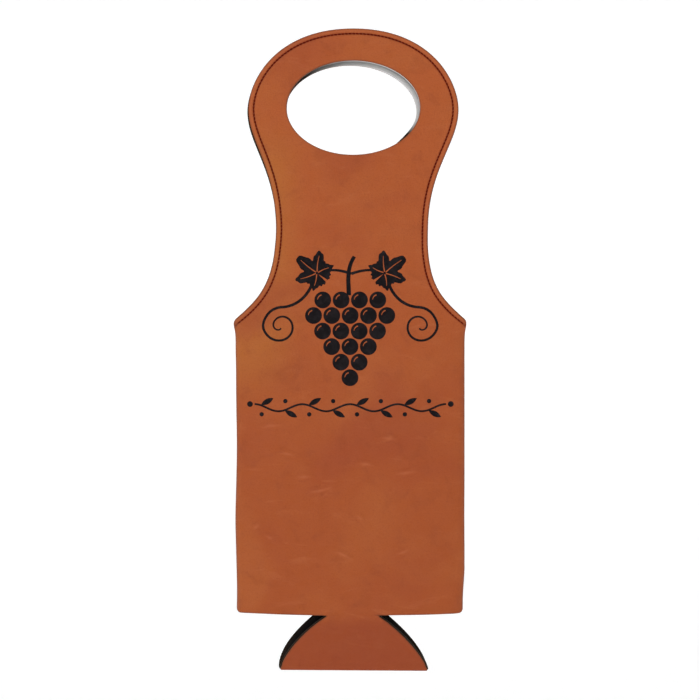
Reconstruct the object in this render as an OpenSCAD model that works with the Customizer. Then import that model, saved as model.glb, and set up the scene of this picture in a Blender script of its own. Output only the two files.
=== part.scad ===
// Bottle carrier: a flat-folding sleeve of leatherette laminated to black foam.
// One long cut makes the front wall, the folding base and the back wall. It is folded in half at the base,
// sewn up both sides and turned, and each wall runs up into a flap with an oval hand hole.
// The front faces -Y. The origin is the point that a hook or a hand bears on: the middle of the hand hole's
// upper rim, midway between the two flaps. The carrier hangs from it, empty and flat.

/* [Pouch] */
// Flat width of the pouch, from side seam to side seam
pouch_w = 149; // [140:1:170]
// Height of the pouch walls, from the shoulder corners to the bottom edge
pouch_h = 190; // [150:0.5:230]
// How far the shoulder corners stand out past the side seams
shoulder_tip = 0.7; // [0.4:0.1:2]
// Length of the run down each side that brings the shoulder corner back to the seam
shoulder_tip_run = 5; // [3:0.5:10]
// How far the bottom corners sit above the middle of the bottom edge
bottom_bow = 1.2; // [0:0.1:5]
// Radius of the bottom corners
bottom_corner_r = 3; // [1:0.5:6]
// Gap between the two linings at the middle of the empty pouch
pocket_gap = 9; // [6:0.5:14]
// Gap between the two linings at the side seams, where the allowances lie
seam_gap = 3; // [2:0.1:4]

/* [Laminate] */
// Thickness of the leatherette
leather_t = 1; // [0.6:0.1:1.6]
// Thickness of the foam lining
lining_t = 2.5; // [1.5:0.1:4]

/* [Flaps] */
// Height of each flap, from the shoulder corners to its top
flap_h = 192; // [180:1:220]
// Widest width of the flap, across the hand hole
handle_w = 137; // [125:1:145]
// Height of that widest place above the shoulder corners
handle_z = 139; // [130:1:150]
// Narrowest width of the flap
neck_w = 98; // [90:0.5:110]
// Height of that narrowest place above the shoulder corners
neck_z = 60; // [50:1:70]

/* [Hand hole] */
// Width of the oval hole
hole_w = 87; // [75:1:100]
// Height of the oval hole
hole_h = 62; // [45:1:66]
// Height of the band between the hole and the flap's top
grip_band = 21; // [18:0.5:26]

/* [Base] */
// Length of each half of the base, from the wall's bottom edge to the fold
base_l = 36; // [30:0.1:42]
// Width of the base at its fold
base_w = 97.5; // [85:0.5:110]
// Width of the neck that joins the base to the front wall
front_neck_w = 34; // [24:1:44]
// Width of the neck that joins the base to the back wall
back_neck_w = 44; // [40:1:60]

/* [Sewing] */
// Distance from the flap's edge to the topstitching
stitch_inset = 3.4; // [2.5:0.1:5]
// Width of the topstitching thread
thread_w = 0.8; // [0.5:0.1:1.2]
// Depth to which the tight stitches pull the thread into the surface
stitch_depth = 0.35; // [0.2:0.05:0.5]
// Width of the seam allowances turned into the pouch
allowance_w = 5; // [4:0.5:8]
// Width of the thread that closes the side seams
seam_thread_w = 0.6; // [0.4:0.1:1]
// Thickness of the thread that closes the side seams
seam_thread_t = 0.3; // [0.2:0.05:0.4]

/* [Bending lines] */
// Slit between neighbouring rigid areas of one sheet
slit = 0.2; // [0.1:0.05:0.3]
// Drop from the walls' bottom edge to the base's folding lines
base_drop = 0.3; // [0.2:0.05:0.5]

/* [Hidden] */

leather_colour = [0.67, 0.35, 0.20];
lining_colour = [0.07, 0.07, 0.07];
topstitch_colour = [0.45, 0.14, 0.05];
seam_thread_colour = [0.12, 0.10, 0.09];

// Overrun of cutting shapes past what they cut
overrun = 20;

// Places across the carrier. The side seams turn about seam_x. The side areas are as wide as a base half is
// long, so the pouch opens by exactly as much as the base unfolds.
seam_x = pouch_w / 2 + shoulder_tip;
half_gap = pocket_gap / 2;
panel_x = seam_x - sqrt(base_l * base_l - half_gap * half_gap);
side_tilt = atan((half_gap - seam_gap / 2) / (seam_x - panel_x));
base_tilt = asin(half_gap / base_l);

// Heights, measured from the shoulder corners. The whole part then drops by hang_z.
hang_z = flap_h - grip_band;
hole_z = hang_z - hole_h / 2;
hole_low = hang_z - hole_h;
bottom_z = -pouch_h;
base_z = bottom_z - base_drop;

// The line in each shoulder where a side area ends and the flap begins, as run across over rise
shoulder_slope_share = 0.825;
// Where the flaps lean together and where the handles part, as shares of the way from the shoulder corners up
// to the hand hole
lean_share = 0.5;
part_share = 0.78;
lean_z = lean_share * hole_low;
part_z = part_share * hole_low;

// Control points of the flap's edge, as shares of the span that each curve crosses
flare_shares = [[0.48, 0.26], [1, 0.34]];
rise_shares = [[0, 0.52], [1, 0.72]];
crown_shares = [[0, 0.34], [0.25, 1]];
// Control points of the base's side edges, across and along, as shares of the span
front_base_shares = [[0.35, 0.19], [0.865, 0.64]];
back_base_shares = [[0.345, 0.22], [0.935, 0.58]];

curve_steps = 14;
crown_steps = 20;
hole_steps = 72;
corner_steps = 5;

// A point and its direction on a curve from a to d, whose middle points lie at shares of the span
function curve_mid(a, d, share) = [a[0] + (d[0] - a[0]) * share[0], a[1] + (d[1] - a[1]) * share[1]];
function curve_at(a, b, c, d, t) =
    a * pow(1 - t, 3) + 3 * b * t * pow(1 - t, 2) + 3 * c * t * t * (1 - t) + d * pow(t, 3);
function curve_way(a, b, c, d, t) =
    3 * (b - a) * pow(1 - t, 2) + 6 * (c - b) * t * (1 - t) + 3 * (d - c) * t * t;
function left_of(way) = [-way[1], way[0]] / norm(way);
// Points of the curve from its start to just short of its end, each moved to the left by inset
function curve_run(a, d, shares, steps, inset = 0) =
    let (b = curve_mid(a, d, shares[0]), c = curve_mid(a, d, shares[1]))
    [for (i = [0:steps - 1]) let (t = i / steps)
        curve_at(a, b, c, d, t) + left_of(curve_way(a, b, c, d, t)) * inset];

function mirrored(points) = [for (i = [len(points) - 1:-1:0]) [-points[i][0], points[i][1]]];

// Right edge of a flap, from the shoulder corner up to its top, drawn in by inset
shoulder_point = [seam_x, 0];
neck_point = [neck_w / 2, neck_z];
widest_point = [handle_w / 2, handle_z];
top_point = [0, flap_h];
function flap_edge(inset = 0) = concat(
    curve_run(shoulder_point, neck_point, flare_shares, curve_steps, inset),
    curve_run(neck_point, widest_point, rise_shares, curve_steps, inset),
    curve_run(widest_point, top_point, crown_shares, crown_steps, inset),
    [[0, flap_h - inset]]
);

// Right edge of a wall, from the middle of its bottom edge up to the shoulder corner
corner_centre = [pouch_w / 2 - bottom_corner_r, bottom_z + bottom_bow + bottom_corner_r];
wall_edge = concat(
    [[back_neck_w / 2, bottom_z]],
    [for (i = [0:corner_steps]) let (turn = 90 * i / corner_steps)
        corner_centre + bottom_corner_r * [sin(turn), -cos(turn)]],
    [[pouch_w / 2, -shoulder_tip_run]]
);

// The whole flat cut of one wall and its flap, hand hole included
module wall_cut() {
    edge = concat(wall_edge, flap_edge());
    difference() {
        polygon(concat(edge, mirrored([for (p = edge) if (p[0] > 0) p])));
        hand_hole_outline();
    }
}

module hand_hole_outline() {
    polygon([for (i = [0:hole_steps - 1]) let (turn = 360 * i / hole_steps)
        [hole_w / 2 * cos(turn), hole_z + hole_h / 2 * sin(turn)]]);
}

// The topstitching's track, which runs off both side edges at the shoulders
module stitch_track() {
    outer = stitch_inset - thread_w / 2;
    inner = stitch_inset + thread_w / 2;
    outer_edge = track_edge(outer);
    inner_edge = track_edge(inner);
    intersection() {
        polygon(concat(outer_edge, mirrored(outer_edge), inner_track(inner_edge)));
        wall_cut();
    }
}

// A flap edge with its first stretch carried on past the side
function track_edge(inset) =
    let (run = flap_edge(inset), way = run[0] - run[1])
    concat([run[0] + way / norm(way) * stitch_inset], run);
function inner_track(run) =
    let (whole = concat(run, mirrored(run)))
    [for (i = [len(whole) - 1:-1:0]) whole[i]];

// Areas of the flat cut that stay rigid, with a slit between neighbours
module panel_area() {
    x = panel_x - slit / 2;
    top = lean_z - slit / 2;
    polygon([
        [-x, bottom_z - overrun], [x, bottom_z - overrun], [x, 0], [x + top * shoulder_slope_share, top],
        [-x - top * shoulder_slope_share, top], [-x, 0]
    ]);
}

module side_area() {
    x = panel_x + slit / 2;
    polygon([
        [x, bottom_z - overrun], [seam_x + overrun, bottom_z - overrun], [seam_x + overrun, lean_z],
        [x + lean_z * shoulder_slope_share, lean_z], [x, 0]
    ]);
}

module neck_area() {
    low = lean_z + slit / 2;
    high = part_z - slit / 2;
    translate([-seam_x, low]) square([2 * seam_x, high - low]);
}

module handle_area() {
    low = part_z + slit / 2;
    translate([-seam_x, low]) square([2 * seam_x, flap_h - low + overrun]);
}

// Stands a flat drawing up as a layer of the front wall. The depths are measured outwards from the lining's
// inner face.
module layer(from, to) {
    translate([0, -half_gap - from, -hang_z])
        rotate([90, 0, 0])
            linear_extrude(to - from)
                children();
}

// Each layer has the groove that the topstitching pulls into it
module leather_layer() {
    color(leather_colour)
        difference() {
            layer(lining_t, lining_t + leather_t) children();
            layer(lining_t + leather_t - stitch_depth, lining_t + leather_t + overrun) stitch_track();
        }
}

module lining_layer() {
    color(lining_colour)
        difference() {
            layer(0, lining_t) children();
            layer(-overrun, stitch_depth) stitch_track();
        }
}

// Needle thread in the leather's groove and bobbin thread in the lining's
module topstitch_layers() {
    color(topstitch_colour) {
        layer(lining_t + leather_t - stitch_depth, lining_t + leather_t) children();
        layer(0, stitch_depth) children();
    }
}

// Turns a side area about its line on the panel, until its lining meets the seam's half gap
module turned_side() {
    translate([panel_x, -half_gap, 0])
        rotate([0, 0, side_tilt])
            translate([-panel_x, half_gap, 0])
                children();
}

module left() { mirror([1, 0, 0]) children(); }
module back() { mirror([0, 1, 0]) children(); }

// The middle area of a wall, from its bottom edge to the foot of the flap
module panel_leather() { leather_layer() intersection() { wall_cut(); panel_area(); } }
module panel_lining() { lining_layer() intersection() { wall_cut(); panel_area(); } }
module panel_topstitch() { topstitch_layers() intersection() { stitch_track(); panel_area(); } }

// The right side area of the front wall, with its shoulder corner
module side_leather() { turned_side() leather_layer() intersection() { wall_cut(); side_area(); } }
module side_lining() { turned_side() lining_layer() intersection() { wall_cut(); side_area(); } }
module side_topstitch() { turned_side() topstitch_layers() intersection() { stitch_track(); side_area(); } }

// The edge of the laminate, pressed thin and turned in along the side seam
allowance_t = seam_gap / 2 - slit;
allowance_low = bottom_z + bottom_bow + bottom_corner_r;
module side_allowance() {
    turned_side()
        color(lining_colour)
            layer(-allowance_t, 0)
                translate([pouch_w / 2 - allowance_w, allowance_low])
                    square([allowance_w, -shoulder_tip_run - allowance_low]);
}

// The lockstitch that closes the right side seam, between the two allowances
module seam_thread() {
    color(seam_thread_colour)
        translate([pouch_w / 2 - seam_thread_w, -seam_thread_t / 2, allowance_low - hang_z])
            cube([seam_thread_w, seam_thread_t, -shoulder_tip_run - allowance_low]);
}

// The narrow part of a flap, between the line where the flaps lean together and the line where they part
module neck_leather() { leather_layer() intersection() { wall_cut(); neck_area(); } }
module neck_lining() { lining_layer() intersection() { wall_cut(); neck_area(); } }
module neck_topstitch() { topstitch_layers() intersection() { stitch_track(); neck_area(); } }

// The handle, with the oval hand hole
module handle_leather() { leather_layer() intersection() { wall_cut(); handle_area(); } }
module handle_lining() { lining_layer() intersection() { wall_cut(); handle_area(); } }
module handle_topstitch() { topstitch_layers() intersection() { stitch_track(); handle_area(); } }

// Half of the base, hanging from its neck at the wall's bottom edge to the fold, with its lining facing in
module base_cut(base_neck_w, shares) {
    start = [base_neck_w / 2, 0];
    end = [base_w / 2, base_l - slit / 2];
    edge = concat(curve_run(start, end, shares, curve_steps), [end]);
    mirror([0, 1]) polygon(concat(edge, mirrored(edge)));
}

module base_layer(from, to) {
    translate([0, -half_gap, base_z - hang_z])
        rotate([base_tilt, 0, 0])
            translate([0, -from, 0])
                rotate([90, 0, 0])
                    linear_extrude(to - from)
                        children();
}

module base_leather(base_neck_w, shares) {
    color(leather_colour) base_layer(lining_t, lining_t + leather_t) base_cut(base_neck_w, shares);
}

module base_lining(base_neck_w, shares) {
    color(lining_colour) base_layer(0, lining_t) base_cut(base_neck_w, shares);
}

panel_leather();  // front_panel_leather
panel_lining();  // front_panel_lining
panel_topstitch();  // front_panel_topstitch
back() panel_leather();  // back_panel_leather
back() panel_lining();  // back_panel_lining
back() panel_topstitch();  // back_panel_topstitch

left() side_leather();  // front_left_leather
left() side_lining();  // front_left_lining
left() side_topstitch();  // front_left_topstitch
left() side_allowance();  // front_left_allowance
side_leather();  // front_right_leather
side_lining();  // front_right_lining
side_topstitch();  // front_right_topstitch
side_allowance();  // front_right_allowance
back() left() side_leather();  // back_left_leather
back() left() side_lining();  // back_left_lining
back() left() side_topstitch();  // back_left_topstitch
back() left() side_allowance();  // back_left_allowance
back() side_leather();  // back_right_leather
back() side_lining();  // back_right_lining
back() side_topstitch();  // back_right_topstitch
back() side_allowance();  // back_right_allowance
left() seam_thread();  // left_seam_thread
seam_thread();  // right_seam_thread

neck_leather();  // front_neck_leather
neck_lining();  // front_neck_lining
neck_topstitch();  // front_neck_topstitch
back() neck_leather();  // back_neck_leather
back() neck_lining();  // back_neck_lining
back() neck_topstitch();  // back_neck_topstitch

handle_leather();  // front_handle_leather
handle_lining();  // front_handle_lining
handle_topstitch();  // front_handle_topstitch
back() handle_leather();  // back_handle_leather
back() handle_lining();  // back_handle_lining
back() handle_topstitch();  // back_handle_topstitch

base_leather(front_neck_w, front_base_shares);  // base_front_leather
base_lining(front_neck_w, front_base_shares);  // base_front_lining
back() base_leather(back_neck_w, back_base_shares);  // base_back_leather
back() base_lining(back_neck_w, back_base_shares);  // base_back_lining
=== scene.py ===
import math

import bpy
import numpy as np
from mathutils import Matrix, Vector
from mathutils.geometry import delaunay_2d_cdt


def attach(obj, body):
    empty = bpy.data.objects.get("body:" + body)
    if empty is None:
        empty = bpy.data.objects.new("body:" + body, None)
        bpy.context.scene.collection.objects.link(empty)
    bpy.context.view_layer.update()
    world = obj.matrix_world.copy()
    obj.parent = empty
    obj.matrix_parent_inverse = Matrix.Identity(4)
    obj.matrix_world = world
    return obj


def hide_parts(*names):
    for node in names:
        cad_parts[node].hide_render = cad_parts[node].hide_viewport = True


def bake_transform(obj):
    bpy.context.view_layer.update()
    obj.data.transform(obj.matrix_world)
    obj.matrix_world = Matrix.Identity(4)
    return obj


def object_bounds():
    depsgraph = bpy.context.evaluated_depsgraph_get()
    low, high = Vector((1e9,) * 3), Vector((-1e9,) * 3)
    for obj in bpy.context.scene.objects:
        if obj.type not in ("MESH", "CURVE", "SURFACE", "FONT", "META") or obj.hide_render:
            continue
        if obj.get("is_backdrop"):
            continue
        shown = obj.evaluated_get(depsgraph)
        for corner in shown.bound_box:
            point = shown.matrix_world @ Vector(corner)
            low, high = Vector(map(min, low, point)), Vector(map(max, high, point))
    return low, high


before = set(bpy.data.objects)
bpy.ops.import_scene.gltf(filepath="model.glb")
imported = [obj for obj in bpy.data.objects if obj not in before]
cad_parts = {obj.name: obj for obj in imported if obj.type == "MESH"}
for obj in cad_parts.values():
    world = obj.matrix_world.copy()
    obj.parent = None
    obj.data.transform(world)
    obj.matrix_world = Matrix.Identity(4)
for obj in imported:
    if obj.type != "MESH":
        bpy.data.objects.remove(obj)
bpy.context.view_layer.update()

# The tan walls. Front and back wall, each with its flap, are cut from leatherette that is laminated to black
# foam. The cut is drawn flat here, in millimetres, with the heights counted from the shoulder corners.
MM = 0.001
SEAM_X = 75.2
SIDE_X = 74.5
BOTTOM_H = -190.0
CORNER_H = -185.8
CORNER_R = 3.0
NECK = (49.2, 60)
WIDEST = (68.2, 139)
TOP_H = 191.4
HOLE_H = 140.0
HOLE_HALF = (43.35, 30.6)
FRONT_NECK_HALF = 17.0
BACK_NECK_HALF = 22.0


def ease(t):
    t = np.clip(t, 0, 1)
    return t * t * (3 - 2 * t)


def bell(t, width):
    return np.exp(-((t / width) ** 2))


def curve_points(start, end, shares, count):
    """Points on a bending curve. Its two control points are given as shares of the way across and up."""
    a, d = np.array(start, float), np.array(end, float)
    b = a + (d - a) * np.array(shares[0])
    c = a + (d - a) * np.array(shares[1])
    t = np.linspace(0, 1, count, endpoint=False)[:, None]
    return a * (1 - t) ** 3 + 3 * b * t * (1 - t) ** 2 + 3 * c * t * t * (1 - t) + d * t**3


def unit(ways):
    return ways / np.maximum(np.linalg.norm(ways, axis=1), 1e-20)[:, None]


def left_of(line):
    """The direction to the left at each point of a line."""
    way = unit(np.gradient(line, axis=0))
    return np.stack([-way[:, 1], way[:, 0]], 1)


def walk(points, step, closed=False):
    """The same line with points no further apart than step, its own corners kept."""
    points = np.array(points, float)
    if closed:
        points = np.vstack([points, points[:1]])
    run = []
    for a, b in zip(points[:-1], points[1:]):
        pieces = max(1, int(math.ceil(np.linalg.norm(b - a) / step)))
        run += [a + (b - a) * i / pieces for i in range(pieces)]
    if not closed:
        run.append(points[-1])
    return np.array(run)


def mirrored(points):
    return [(-p[0], p[1]) for p in reversed(list(points)) if p[0] > 1e-6]


def far_from(points, line, closed=False):
    """How far each point is from a line of points."""
    line = np.array(line, float)
    if closed:
        line = np.vstack([line, line[:1]])
    a, way = line[:-1], np.diff(line, axis=0)
    length = np.maximum((way**2).sum(1), 1e-12)
    found = np.full(len(points), 1e9)
    for i in range(0, len(points), 2000):
        p = points[i:i + 2000, None, :]
        t = np.clip(((p - a) * way).sum(2) / length, 0, 1)
        found[i:i + 2000] = np.sqrt((((a + way * t[..., None]) - p) ** 2).sum(2)).min(1)
    return found


def inside(points, loop):
    """Which points lie inside a closed loop."""
    loop = np.array(loop, float)
    low, high = loop.min(0), loop.max(0)
    near = np.nonzero(((points >= low) & (points <= high)).all(1))[0]
    found = np.zeros(len(points), bool)
    if not len(near):
        return found
    x, y = points[near, 0:1], points[near, 1:2]
    a, b = loop, np.roll(loop, -1, axis=0)
    crosses = (a[:, 1] > y) != (b[:, 1] > y)
    rise = np.where(np.abs(b[:, 1] - a[:, 1]) < 1e-12, 1e-12, b[:, 1] - a[:, 1])
    found[near] = (crosses & (x < a[:, 0] + (b[:, 0] - a[:, 0]) * (y - a[:, 1]) / rise)).sum(1) % 2 == 1
    return found


flap_right = np.vstack([
    curve_points((SEAM_X, 1.7), NECK, [(0.48, 0.214), (1, 0.327)], 36),
    curve_points(NECK, WIDEST, [(0, 0.52), (1, 0.72)], 40),
    curve_points(WIDEST, (0, TOP_H), [(0, 0.34), (0.25, 1)], 48),
    [(0, TOP_H)],
])
corner = [(SIDE_X - CORNER_R + CORNER_R * math.sin(a), CORNER_H - CORNER_R * math.cos(a))
          for a in np.linspace(0, math.pi / 2, 6)]
wall_right = [(0, BOTTOM_H), (BACK_NECK_HALF, BOTTOM_H), *corner, (SIDE_X, -5)]
tip = [(75.05, -1.6), (75.15, 0.6), (74.95, 1.6)]
edge_right = [*wall_right, *tip, *flap_right[1:]]
wall_edge = walk([*edge_right, *mirrored(edge_right)], 2.0, closed=True)
flap_start = flap_right[0] + (flap_right[0] - flap_right[1]) * 8
flap_half = [flap_start, *flap_right]
flap_line = np.array([*flap_half, *mirrored(flap_half)])
hole_turn = np.linspace(0, 2 * math.pi, 120, endpoint=False)
hole_edge = np.stack([HOLE_HALF[0] * np.cos(hole_turn), HOLE_H + HOLE_HALF[1] * np.sin(hole_turn)], 1)


def inset_points(loop, depth):
    """Points of a closed loop moved to its left by depth, where the loop leaves room for them."""
    way = unit(np.roll(loop, -1, axis=0) - np.roll(loop, 1, axis=0))
    moved = loop + np.stack([-way[:, 1], way[:, 0]], 1) * depth
    return moved[np.abs(far_from(moved, loop, True) - depth) < 0.04 + 0.06 * depth]


FLARE_TOP_H = 40
NECK_TOP_H = 70
CREASE_ROWS = (-2.6, -1.8, -1.1, -0.5, 0, 0.5, 1.1, 1.8, 2.6)
CREASE_HALF = 3.2
TRIANGLE_H = 0.866


def net(step, insets, hole_insets, loops=(), inner_loops=(), creases=()):
    """The flat cut as triangles, finer along its edges, its stitching line, its creases and its ornament.
    Lines up the middle and across at the shoulders, the flare and the neck let it be divided there."""
    points, edges = [], []

    def add(line, closed):
        first = len(points)
        points.extend(line)
        last = len(points) - 1
        edges.extend((i, i + 1) for i in range(first, last))
        if closed:
            edges.append((last, first))

    add(wall_edge, True)
    add(hole_edge, True)
    for loop in loops:
        add(loop, True)
    add(walk([(0, BOTTOM_H - 2), (0, FLARE_TOP_H)], step), False)
    for height, half in ((0, 80), (FLARE_TOP_H, 60), (NECK_TOP_H, 60)):
        add(walk([(-half, height), (half, height)], step), False)
    for depth in insets:
        points.extend(inset_points(wall_edge, depth))
    for depth in hole_insets:
        points.extend(inset_points(hole_edge[::-1], depth))
    for loop in inner_loops:
        points.extend(loop)
    for line in creases:
        for side in CREASE_ROWS:
            points.extend(line + left_of(line) * side)
    placed = np.array(points)
    columns = np.arange(-77, 77, step)
    rows = np.arange(BOTTOM_H, TOP_H, step * TRIANGLE_H)
    grid = np.array([(x + (0.5 * step if i % 2 else 0), h) for i, h in enumerate(rows) for x in columns])
    room = inside(grid, wall_edge) & ~inside(grid, hole_edge)
    room &= far_from(grid, wall_edge, True) > insets[-1] + 0.5 * step
    room &= far_from(grid, hole_edge, True) > hole_insets[-1] + 0.5 * step
    for height in (0, FLARE_TOP_H, NECK_TOP_H):
        room &= np.abs(grid[:, 1] - height) > 0.45 * step
    room &= (np.abs(grid[:, 0]) > 0.45 * step) | (grid[:, 1] > FLARE_TOP_H + 1)
    for line in creases:
        room &= far_from(grid, line) > CREASE_HALF
    placed = np.vstack([placed, grid[room]])
    corners, _, faces, *_ = delaunay_2d_cdt([Vector(p) for p in placed], edges, [], 0, 1e-4)
    flat = np.array([tuple(c) for c in corners])
    tris = np.array([f for f in faces if len(f) == 3])
    a, b, c = flat[tris[:, 0]], flat[tris[:, 1]], flat[tris[:, 2]]
    area = (b[:, 0] - a[:, 0]) * (c[:, 1] - a[:, 1]) - (b[:, 1] - a[:, 1]) * (c[:, 0] - a[:, 0])
    tris[area < 0] = tris[area < 0][:, ::-1]
    middle = (a + b + c) / 3
    keep = (np.abs(area) > 1e-6) & inside(middle, wall_edge) & ~inside(middle, hole_edge)
    tris, middle = tris[keep], middle[keep]
    used, tris = np.unique(tris, return_inverse=True)
    return {"flat": flat[used], "tris": tris.reshape(-1, 3), "middle": middle}


def wall_facts(cut, neck_half, creases=()):
    """Adds what each point of a cut needs to take its place: how far it is from the free edges, the hole, the
    sewn side and the flap's edge, which the stitching follows, and how deep it lies in a crease."""
    flat = cut["flat"]
    flap_free = [(SIDE_X, -6), *tip, *flap_right[1:]]
    bottom_free = [(neck_half, BOTTOM_H), *wall_right[1 if neck_half < BACK_NECK_HALF else 2:-1]]
    hole = far_from(flat, hole_edge, True)
    free = [hole, far_from(flat, [*flap_free, *mirrored(flap_free)])]
    free += [far_from(flat * (side, 1), bottom_free) for side in (-1, 1)]
    cut["edge"] = np.min(free, axis=0)
    cut["hole"] = hole
    cut["side"] = np.maximum(SIDE_X - np.abs(flat[:, 0]), 0)
    cut["stitch"] = far_from(flat, flap_line)
    cut["crease"] = np.zeros(len(flat))
    for line in creases:
        gap = far_from(flat, line)
        ends = np.minimum(np.linalg.norm(flat - line[0], axis=1), np.linalg.norm(flat - line[-1], axis=1))
        half = np.linalg.norm(np.diff(line, axis=0), axis=1).sum() / 2
        cut["crease"] += (bell(gap, 1.3) - 0.42 * bell(gap - 2.5, 1.0)) * ease(0.9 * ends / half)
    return cut


SHOULDER_Z = -171.0
LINING_T = 2.5
LEATHER_T = 1.0
WALL_T = LINING_T + LEATHER_T
STITCH_INSET = 3.4
SHOULDER_SLOPE = 0.825
FLAT_HALF = 35.5
GAP_MIDDLE = 4.5
GAP_SEAM = 1.5
BACK_LEAN = 1.5


def side_wander(x, h, side):
    """How far a turned and pressed side wanders from a straight line, in millimetres. The left one is fuller
    at the shoulder and lower down, the right one draws in at the bottom, and both corners stand out."""
    if side < 0:
        out = 0.25 + 0.35 * bell(h + 14, 12) - 0.5 * bell(h + 80, 22) + 0.45 * bell(h + 128, 16)
        out = out - 0.6 * bell(h + 176, 20)
    else:
        out = 0.7 - 0.15 * bell(h + 125, 20) - 1.2 * ease((-158 - h) / 24)
    out = out * ease((4 - h) / 8) + 0.85 * bell(h + 2, 5)
    return side * out * ease((side * x / SIDE_X - 0.35) / 0.65)


def drift(h, wall):
    """The flaps stand a little to one side of the pouch, and the back one leans the other way."""
    right = 0.97 * ease((h + 20) / 80) + 0.85 * ease((h - 70) / 60)
    right = right - 0.25 * bell(h - 22, 20) + 0.35 * ease((h - 45) / 20)
    return right if wall == "front" else right - BACK_LEAN * (np.clip(h, 0, None) / HOLE_H) ** 2


def waves(x, h, wall):
    """How far shallow waves lift a wall. They die out at the bottom edge and at the top of the flap."""
    phase = 0.0 if wall == "front" else 2.1
    lift = 0.34 * np.sin(x / 15.5 + h / 31 + phase) * np.cos(h / 21 - x / 44 + 0.6)
    lift += 0.24 * np.sin(x / 9.1 - h / 14.5 + 1.3 + phase)
    lift *= 0.35 + 0.65 * ease(-h / 30)
    return lift * (ease((h - BOTTOM_H) / 22) * ease((HOLE_H + 52 - h) / 20))


def place(cut, depth, wall):
    """Stands a cut up as the surface that lies depth outside the lining's inner face, in metres."""
    flat_x, flat_h = cut["flat"].T
    x, h = flat_x, flat_h
    toward = np.sign(x)
    beyond_panel = np.abs(x) - SHOULDER_SLOPE * np.clip(h, 0, None) - FLAT_HALF
    reach = np.clip(beyond_panel / (SEAM_X - FLAT_HALF), 0, 1)
    out = GAP_MIDDLE - (GAP_MIDDLE - GAP_SEAM) * reach**2 * (2 - reach) + depth + waves(x, h, wall)
    # The face is rounded at its cut edge, pulled in under the stitches, full beside them, raised at creases.
    if depth > LINING_T:
        out = out - 0.42 * np.clip(1 - cut["edge"] / 0.9, 0, 1) ** 2
        out = out - 0.36 * bell(cut["stitch"] - STITCH_INSET, 0.5)
        out = out + 0.16 * bell(cut["stitch"] - 1.6, 1.0)
        out = out + 0.34 * cut["crease"]
    elif depth == 0:
        out = out + 0.5 * np.clip(1 - cut["edge"] / 1.2, 0, 1) ** 2
        out = out + 0.36 * bell(cut["stitch"] - STITCH_INSET, 0.6)
    # Below the shoulders the sides roll in to the seam.
    roll = np.where(x > 0, 8.0, 4.5)
    turned = np.sqrt(np.clip(1 - (1 - np.clip(cut["side"] / roll, 0, 1)) ** 2, 0, 1))
    sewn = ease((-0.5 - h) / 5.5)
    x = x - toward * (WALL_T - depth) * (1 - turned) * sewn
    out = out * (1 - sewn) + sewn * (0.1 + turned * (out - 0.1))
    x = x + side_wander(x, h, -1) * (toward < 0) + side_wander(x, h, 1) * (toward > 0) + drift(h, wall)
    # The back hole isn't quite true to the front one, low on the right.
    if wall == "back":
        pull = 1.5 * bell(np.hypot(flat_x - 37, h - 122), 12.5)
        x, h = x - 0.72 * pull, h + 0.69 * pull
    # At the shoulder corners the front wall covers the back one, and neither crosses the line they turn on.
    tip_reach = bell(flat_h + 0.5, 5)
    limit = SEAM_X + (0.75 * tip_reach - 0.04 if wall == "front" else -0.85 * tip_reach - 0.14)
    x = np.clip(x, -limit, limit)
    if "overhang" in cut:
        x, h = x + cut["overhang"][:, 0], h + cut["overhang"][:, 1]
    outward = -1 if wall == "front" else 1
    # The lower right hangs a little.
    sag = 0.5 * ease((x - 20) / 45) * ease((-150 - h) / 38)
    return np.stack([x, outward * out, h - sag + SHOULDER_Z], 1) * MM


def linked(name, data):
    """A new object in the scene."""
    thing = bpy.data.objects.new(name, data)
    bpy.context.collection.objects.link(thing)
    return thing


def smooth_normals(co, tris):
    a, b, c = co[tris[:, 0]], co[tris[:, 1]], co[tris[:, 2]]
    face = np.cross(b - a, c - a)
    total = np.zeros_like(co)
    for k in range(3):
        np.add.at(total, tris[:, k], face)
    return unit(total)


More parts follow.
